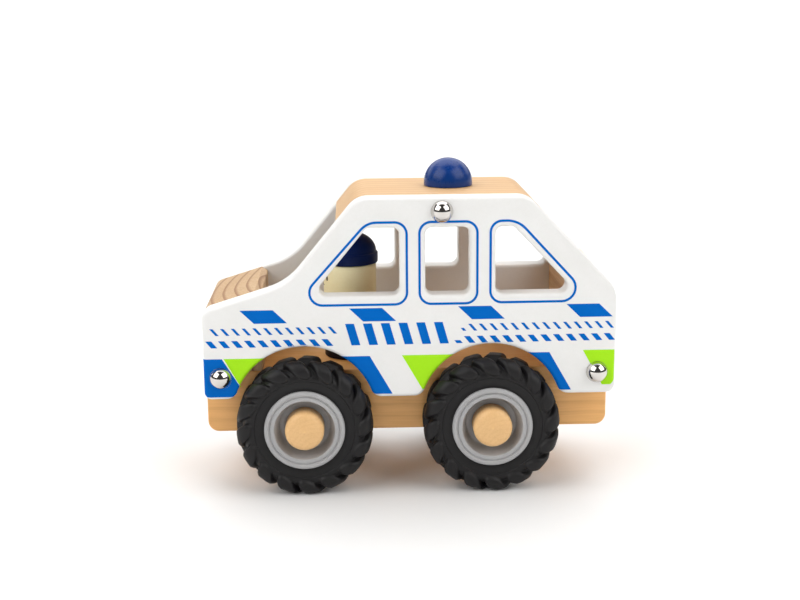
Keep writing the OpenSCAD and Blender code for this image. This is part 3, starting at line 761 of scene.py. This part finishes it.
for name, angle, z, half_w, half_h in (("left_eye", 30, 12.4, 0.75, 1.0), ("right_eye", -30, 12.4, 0.75, 1.0),
                                       ("mouth", 0, 9.2, 2.6, 0.45)):
    fitted(dab(f"driver_{name}", angle, neck_z + z * mm, half_w * mm, half_h * mm),
           print_dark, "car_body", "print_dark")

# Axles
# Two drawn steel rods that turn in the base, with a hub pressed on each end.
for end in ("front", "rear"):
    shown(f"{end}_axle", drawn_steel)

# Hubs
# Moulded grey plastic: a boss on the axle, a web, and a drum with a lip and a flange that hold the tyre. The
# lip's face is a round roll, a groove and a flat ridge, and a deep conical dish leads in to the web.
side_y = base_hi.y
# The hub's section as radius and distance out from the base's side, and then the radii of its corners
hub_profile = rounded(
    np.array([(2.03, 0.4), (6, 0.4), (6, 7.3), (11.2, 7.3), (12.8, 5.1), (12.8, 1.6), (16.1, 1.6), (16.1, 3),
              (15, 3), (15, 15.5), (16.1, 15.5), (16.1, 16.9), (14.5, 16.9), (14.05, 16.2), (13.75, 16.2),
              (13.6, 16.6), (12.15, 16.6), (10.3, 9.5), (2.03, 9.5)]) * mm,
    np.array([0.1, 0.3, 0.3, 0.3, 0.3, 0.3, 0.3, 0.3, 0.2, 0.2, 0.2, 0.9, 0.5, 0.1, 0.1, 0.15, 0.25, 0.8,
              0.1]) * mm, 6, 0.02 * mm).reshape(-1, 2)
hub_grey = coated("hub_grey", srgb(172, 172, 173), srgb(165, 165, 167), rough=(0.36, 0.48),
                  fineness=1300, relief=0.015 * mm)
for end, axle in (("front", front_axle), ("rear", rear_axle)):
    for side, outward in (("left", -1), ("right", 1)):
        fitted(turned(f"{end}_{side}_wheel", (axle.x, outward * side_y, axle.z), (0, outward, 0), hub_profile,
                      closed=True, segments=128),
               hub_grey, f"{end}_wheels", "hub_grey", f"{end}_{side}_hub")

# Tyres
# Soft black rubber stretched over the hubs: a round carcass with two staggered rows of slanted lugs that meet
# in a V along the middle and run over the shoulders, ending rounded on the sidewalls above a low ledge.
tyre_lo, tyre_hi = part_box("front_left_tyre")
tyre_r = (tyre_hi.z - tyre_lo.z) / 2
tyre_half_w = (tyre_hi.y - tyre_lo.y) / 2
lug_count = 16
lug_slant = math.tan(math.radians(38))
lug_foot = 0.385
lug_wall = np.array([-0.045, -0.024, -0.01, -0.003, 0.004])
lug_columns = np.sort(np.r_[0, 0.06, 0.25, 0.44, lug_foot + lug_wall, 0.5 - lug_foot - lug_wall])
lug_flatness = 8
lug_gap, lug_gap_slope = 0.35 * mm, 0.5 * mm
outer_power, inner_power = 3.8, 16
widest_r = 20.4 * mm
carcass_half_w = 6.7 * mm
carcass_rise = 4.5 * mm
carcass_fall = 7.5 * mm
bulge_power = 2.3
wall_power = 3.0
lug_end_r, lug_end_round = 21.1 * mm, 1.7 * mm
lug_end_lead, lug_end_slope = 0.5 * mm, 1.1 * mm
ledge_r, ledge, ledge_slope = 20.3 * mm, 0.45 * mm, 0.4 * mm
lug_run = 9 * mm
bead_u, bead_r = 6.1 * mm, 16.15 * mm
seat_r = 15.04 * mm


def smooth(value):
    """Smooth step of a value held between 0 and 1."""
    value = np.clip(value, 0, 1)
    return value * value * (3 - 2 * value)


def tyre(name, axle, outward):
    """Tyre on one closed grid. Around: places counted in lug pitches, set close at the lugs' walls. Across:
    half a section, a superellipse from the tread down to the bead with a ledge in the sidewall, mirrored.
    Rows are turned back along the lugs' slant by their distance from the tread's middle. A lug draws the
    section out, away from the middle of its widest circle, to a squarer superellipse of the tyre's full
    size, whose power is lower at the round outer shoulder than at the square inner one."""
    tread_u = np.array([0, 0.4, 0.65, 0.9, 1.7, 2.6, 3.5, 4.3, 4.9]) * mm
    tread_r = widest_r + carcass_rise * (1 - (tread_u / carcass_half_w) ** bulge_power) ** (1 / bulge_power)
    upper_r = np.linspace(tread_r[-1], widest_r, 15)[1:]
    upper_u = carcass_half_w * (1 - ((upper_r - widest_r) / carcass_rise) ** bulge_power) ** (1 / bulge_power)
    lower_r = np.r_[20.3, 20.2, 20.1, 20, 19.9, 19.75, np.linspace(19.5, 16.25, 9)] * mm
    lower_u = carcass_half_w * (1 - ((widest_r - lower_r) / carcass_fall) ** wall_power) ** (1 / wall_power)
    lower_u = lower_u - ledge * smooth((ledge_r - lower_r) / ledge_slope)
    half_u = np.r_[tread_u, upper_u, lower_u, bead_u, bead_u, 0]
    half_r = np.r_[tread_r, upper_r, lower_r, bead_r, seat_r, seat_r]
    travel = np.r_[0, np.cumsum(np.hypot(np.diff(half_u), np.diff(half_r)))]
    u = np.r_[half_u, -half_u[-2:0:-1]][:, None]
    radius = np.r_[half_r, half_r[-2:0:-1]][:, None]
    back = np.minimum(np.r_[travel, travel[-2:0:-1]], lug_run)[:, None] * lug_slant / tyre_r
    pitch = (np.arange(2 * lug_count)[:, None] / 2 + lug_columns).ravel()[None]
    off = np.abs((pitch + np.where(u > 0, 0, 0.5)) % 1 - 0.5)
    lug = np.sqrt(np.clip(1 - (off / lug_foot) ** lug_flatness, 0, 1))
    lug = lug * smooth((np.abs(u) - lug_gap) / lug_gap_slope)
    ended = lug_end_r + lug_end_round * (off / lug_foot) ** 2
    lug = lug * smooth((radius - ended + lug_end_lead) / lug_end_slope) * (radius > widest_r)
    rise = np.maximum(radius - widest_r, 0)
    power = np.where(u > 0, outer_power, inner_power)
    reach = (np.abs(u) / tyre_half_w) ** power + (rise / (tyre_r - widest_r)) ** power
    drawn = 1 + lug * (np.maximum(reach, 1e-9) ** (-1 / power) - 1)
    u = u * drawn
    radius = radius + rise * (drawn - 1)
    angle = 2 * np.pi * pitch / lug_count - np.pi / 2 - back
    middle_y = -outward * (tyre_lo.y + tyre_hi.y) / 2
    points = np.stack(np.broadcast_arrays(
        axle.x + radius * np.cos(angle), middle_y + outward * u, axle.z + radius * np.sin(angle)), 2)
    index = np.arange(points[..., 0].size).reshape(points.shape[:2])
    return solid(name, points, quads(wrap(wrap(index, 1), 0)))


tyre_black = coated("tyre_black", srgb(14, 13, 14), srgb(18, 16, 18), rough=(0.46, 0.58),
                    fineness=1600, relief=0.03 * mm, gloss=0.36)
for end, axle in (("front", front_axle), ("rear", rear_axle)):
    for side, outward in (("left", -1), ("right", 1)):
        fitted(tyre(f"{end}_{side}_rubber", axle, outward),
               tyre_black, f"{end}_wheels", "tyre_black", f"{end}_{side}_tyre")

# Hub buttons
# Turned wooden buttons glued on the axles' ends in the hubs' dishes, with a well rounded rim and the small
# pip that the lathe leaves in the middle.
button_r = 7.8 * mm
button_rim_r = 2.4 * mm
button_edge = 0.2 * mm
button_in, button_out = 9.5 * mm, 19.25 * mm
pip_r, pip_h = 0.75 * mm, 0.34 * mm
pip_angle = np.linspace(0, np.pi, 9)
button_profile = np.r_[
    [[0, button_in]], [[button_r - button_edge, button_in]], [[button_r, button_in + button_edge]],
    arc((button_r - button_rim_r, button_out - button_rim_r), button_rim_r, 0, 90, 12),
    np.stack([pip_r * (1 + np.cos(pip_angle)) / 2, button_out + pip_h * (1 - np.cos(pip_angle)) / 2], 1)]
button_profile[-1, 0] = 0
for end, axle in (("front", front_axle), ("rear", rear_axle)):
    button_pith = axle.x + 5 * mm, 0, axle.z - 9 * mm
    button_wood = pine(f"{end}_button_wood", srgb(236, 192, 134), srgb(206, 156, 98), pith=button_pith,
                       turn=along_y, ring=1.9 * mm, contrast=0.12, waver=2.5 * mm)
    for side, outward in (("left", -1), ("right", 1)):
        fitted(turned(f"{end}_{side}_hub_button", (axle.x, outward * side_y, axle.z), (0, outward, 0),
                      button_profile),
               button_wood, f"{end}_wheels", "button_wood", f"{end}_{side}_button")

# Studio
# A wide pale floor under four soft boxes in a dim room: one at each side of the camera, one overhead and a
# wide one behind the car. Below the horizon the room is as bright as the lit floor, and the picture shows all
# of it as a white backdrop.
floor_half, floor_t = 400, 20 * mm
room_front, room_back = 0.06, 0.1
below_horizon, horizon = 1.2, (0.012, 0.02)
box_edge = 0.9
backdrop = 1.1
warm_white = (1, 0.99, 0.975, 1)
# Bearing, height, half width and half height in degrees, and strength
soft_boxes = ((-60, 40, 25, 23, 3.03), (60, 40, 25, 23, 2.83), (180, 70, 34, 20, 2.5), (180, 33, 62, 15, 1.9))
floor = solid("floor", [(x, y, z) for z in (-floor_t, 0) for y in (-floor_half, floor_half)
                        for x in (-floor_half, floor_half)],
              (), [(0, 1, 3, 2), (4, 5, 7, 6), (0, 1, 5, 4), (2, 3, 7, 6), (0, 2, 6, 4), (1, 3, 7, 5)])
pale_floor = coated("pale_floor", (0.85, 0.85, 0.85, 1), (0.84, 0.84, 0.84, 1), rough=(0.5, 0.6),
                    fineness=40, relief=0.02 * mm)
floor.data.materials.append(pale_floor)

world = bpy.data.worlds.new("studio")
world.use_nodes = True
sky = world.node_tree
bpy.context.scene.world = world
direction = add(sky, "ShaderNodeTexCoord", {}).outputs["Generated"]


def soft_box(bearing, height, half_w, half_h, strength):
    """Light of a soft box far away, at a bearing from the camera's direction and a height above the floor,
    in degrees, with its half sizes: a direction is in it if its run across and its run up, over its run
    towards the box, are under the tangents of the half sizes, with a soft edge."""
    a, e = math.radians(bearing), math.radians(height)
    towards = (math.sin(a) * math.cos(e), -math.cos(a) * math.cos(e), math.sin(e))
    across = (math.cos(a), math.sin(a), 0)
    upward = tuple(np.cross(across, towards) * -1)
    run = [add(sky, "ShaderNodeVectorMath", {0: direction, 1: way}, operation="DOT_PRODUCT").outputs["Value"]
           for way in (towards, across, upward)]
    masks = [spread(sky, maths(sky, "ABSOLUTE", maths(sky, "DIVIDE", side_run, run[0])),
                    math.tan(math.radians(half)) * box_edge, math.tan(math.radians(half)), 1.0, 0.0)
             for side_run, half in ((run[1], half_w), (run[2], half_h))]
    ahead = maths(sky, "GREATER_THAN", run[0], 0.05)
    return maths(sky, "MULTIPLY", maths(sky, "MULTIPLY", maths(sky, "MULTIPLY", *masks), ahead), strength)


split = add(sky, "ShaderNodeSeparateXYZ", {0: direction}).outputs
room = spread(sky, split["Y"], -0.4, 0.6, room_front, room_back)
light = maths(sky, "MAXIMUM", room, spread(sky, split["Z"], *horizon, below_horizon, 0.0))
for box in soft_boxes:
    light = maths(sky, "ADD", light, soft_box(*box))
seen = add(sky, "ShaderNodeLightPath", {}).outputs["Is Camera Ray"]
light = maths(sky, "MAXIMUM", light, maths(sky, "MULTIPLY", seen, backdrop))
background = sky.nodes["Background"]
sky.links.new(light, background.inputs["Strength"])
background.inputs["Color"].default_value = warm_white

camera_place = Vector((-22.35, -556.17, 195.41)) * mm
camera_yaw, camera_pitch, camera_roll = 0.03518, 0.22006, -0.00857
picture_w = 800
focal_pixels = 1352.24
run = math.cos(camera_pitch)
forward = Vector((math.sin(camera_yaw) * run, math.cos(camera_yaw) * run, -math.sin(camera_pitch)))
level = Vector((math.cos(camera_yaw), -math.sin(camera_yaw), 0))
upright = level.cross(forward)
right = level * math.cos(camera_roll) + upright * math.sin(camera_roll)
up = upright * math.cos(camera_roll) - level * math.sin(camera_roll)
camera = bpy.data.objects.new("camera", bpy.data.cameras.new("camera"))
camera.data.sensor_width = 36
camera.data.lens = focal_pixels * camera.data.sensor_width / picture_w
camera.matrix_world = Matrix.Translation(camera_place) @ Matrix((right, up, -forward)).transposed().to_4x4()
bpy.context.scene.collection.objects.link(camera)
bpy.context.scene.camera = camera
bpy.context.scene.view_settings.view_transform = "Standard"
